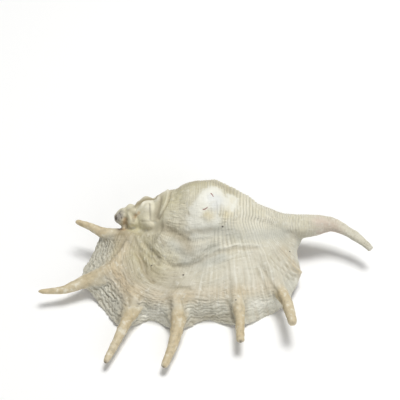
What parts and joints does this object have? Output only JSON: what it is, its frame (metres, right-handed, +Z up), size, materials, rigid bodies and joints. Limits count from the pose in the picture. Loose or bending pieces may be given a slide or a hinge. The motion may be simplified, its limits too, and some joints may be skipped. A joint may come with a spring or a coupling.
{
  "type": "spider conch shell",
  "caption": "Large sea-snail shell lying on its mouth, with a knobbed spire, a spread lip with six long fingers and a curved siphonal canal.",
  "frame": {"origin": "on the surface the shell lies on, under the coiling axis, in the middle of the worn flat on the belly", "axes": "+X along the coiling axis from the spire to the siphonal canal, -Y out over the spread lip and its fingers, +Z up through the back of the last whorl"},
  "size_m": [0.2792, 0.1662, 0.0714],
  "materials": {
    "shell": "chalky cream, worn and matt, glossier on the belly and in the mouth"
  },
  "bodies": {
    "root": {"shell": "shell"}
  },
  "joints": []
}
